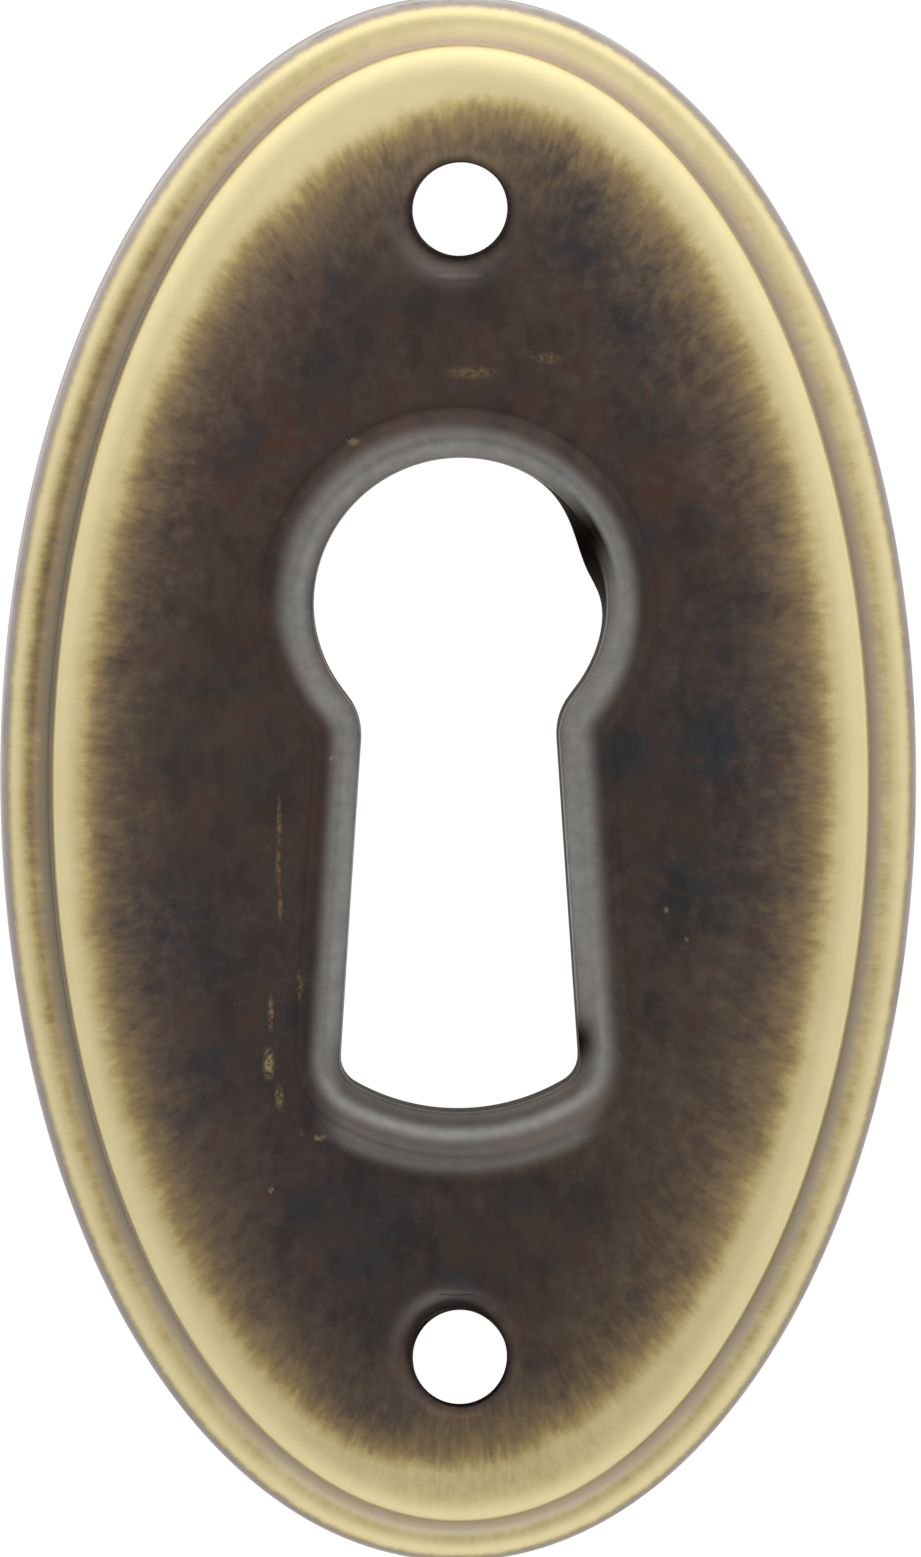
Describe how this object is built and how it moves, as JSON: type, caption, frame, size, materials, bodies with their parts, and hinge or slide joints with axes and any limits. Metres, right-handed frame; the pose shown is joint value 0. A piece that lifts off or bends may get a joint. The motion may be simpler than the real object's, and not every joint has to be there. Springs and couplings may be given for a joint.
{
  "type": "keyhole escutcheon",
  "caption": "Upright oval keyhole plate pressed from sheet brass: rounded rim, groove, raised shoulder, dished dark field, rolled lip round the keyhole and a pin hole at each end.",
  "frame": {"origin": "middle of the oval, on the back plane that lies against the wood", "axes": "+Z out of the show face, +Y up along the long axis towards the round of the keyhole, +X to the right when looking at the show face"},
  "size_m": [0.0222, 0.0382, 0.0022],
  "materials": {
    "antique_brass": "dark oxide patina rubbed back to pale brass on the rim and shoulder, clear lacquered"
  },
  "bodies": {
    "root": {"escutcheon_plate": "antique_brass"}
  },
  "joints": []
}
